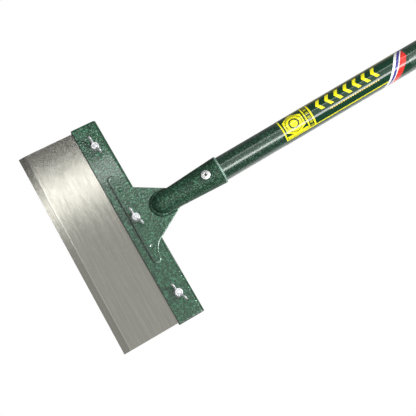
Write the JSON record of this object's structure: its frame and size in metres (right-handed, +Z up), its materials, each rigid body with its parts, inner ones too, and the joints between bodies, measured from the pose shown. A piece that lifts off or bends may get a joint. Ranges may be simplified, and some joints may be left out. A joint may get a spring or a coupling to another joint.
{
  "type": "floor scraper",
  "caption": "Long-handled floor scraper: wide bevelled steel blade held in a folded clamp by bolts and wing nuts, on a tapered socket with a tubular steel handle.",
  "frame": {"origin": "Middle of the part's bounding box in plan, on the surface that it lies on.", "axes": "+Y runs along the level handle from the blade to the free end, +X across the blade, +Z up, with the wing nuts on the upper side. The blade rises 12 degrees towards its cutting edge."},
  "size_m": [0.306, 1.387, 0.0456],
  "materials": {
    "blade_steel": "brushed along the cutting edge, ground bevel",
    "hammered_enamel": "dark green hammered enamel, satin",
    "handle_enamel": "dark green enamel, glossy",
    "label_film": "printed film, glossy",
    "zinc_hardware": "bright zinc plate",
    "rivet_aluminium": "satin",
    "mandrel_steel": "dull, broken end",
    "plug_plastic": "fine moulded texture"
  },
  "bodies": {
    "handle_and_holder": {"blade_holder": "hammered_enamel", "gusset_plate": "hammered_enamel", "socket": "hammered_enamel", "socket_weld_upper": "hammered_enamel", "socket_weld_lower": "hammered_enamel", "handle_tube": "handle_enamel", "handle_end_plug": "plug_plastic", "handle_label": "label_film", "handle_rivet": "rivet_aluminium", "rivet_mandrel": "mandrel_steel"},
    "blade": {"blade": "blade_steel"},
    "bolt_left": {"bolt_left": "zinc_hardware"},
    "wing_nut_left": {"wing_nut_left": "zinc_hardware"},
    "bolt_middle": {"bolt_middle": "zinc_hardware"},
    "wing_nut_middle": {"wing_nut_middle": "zinc_hardware"},
    "bolt_right": {"bolt_right": "zinc_hardware"},
    "wing_nut_right": {"wing_nut_right": "zinc_hardware"}
  },
  "joints": [
    {"name": "blade_draw", "type": "slide", "parent": "handle_and_holder", "child": "blade", "axis": [0, -0.9781, 0.2079], "range_m": [0, 0.025]},
    {"name": "nut_turn_left", "type": "hinge", "parent": "handle_and_holder", "child": "wing_nut_left", "pos_m": [-0.116, -0.59526, 0.02559], "axis": [0, 0.2079, 0.9781], "range_deg": [0, 1080]},
    {"name": "bolt_sink_left", "type": "slide", "parent": "handle_and_holder", "child": "bolt_left", "axis": [0, -0.2079, -0.9781], "range_m": [0, 0.003]},
    {"name": "nut_turn_middle", "type": "hinge", "parent": "handle_and_holder", "child": "wing_nut_middle", "pos_m": [0, -0.59464, 0.02852], "axis": [0, 0.2079, 0.9781], "range_deg": [0, 1080]},
    {"name": "bolt_sink_middle", "type": "slide", "parent": "handle_and_holder", "child": "bolt_middle", "axis": [0, -0.2079, -0.9781], "range_m": [0, 0.003]},
    {"name": "nut_turn_right", "type": "hinge", "parent": "handle_and_holder", "child": "wing_nut_right", "pos_m": [0.116, -0.59526, 0.02559], "axis": [0, 0.2079, 0.9781], "range_deg": [0, 1080]},
    {"name": "bolt_sink_right", "type": "slide", "parent": "handle_and_holder", "child": "bolt_right", "axis": [0, -0.2079, -0.9781], "range_m": [0, 0.003]}
  ],
  "couplings": [
    {"joint": "bolt_sink_left", "follows": "nut_turn_left", "m_per_rad": 0.000159},
    {"joint": "bolt_sink_middle", "follows": "nut_turn_middle", "m_per_rad": 0.000159},
    {"joint": "bolt_sink_right", "follows": "nut_turn_right", "m_per_rad": 0.000159}
  ]
}
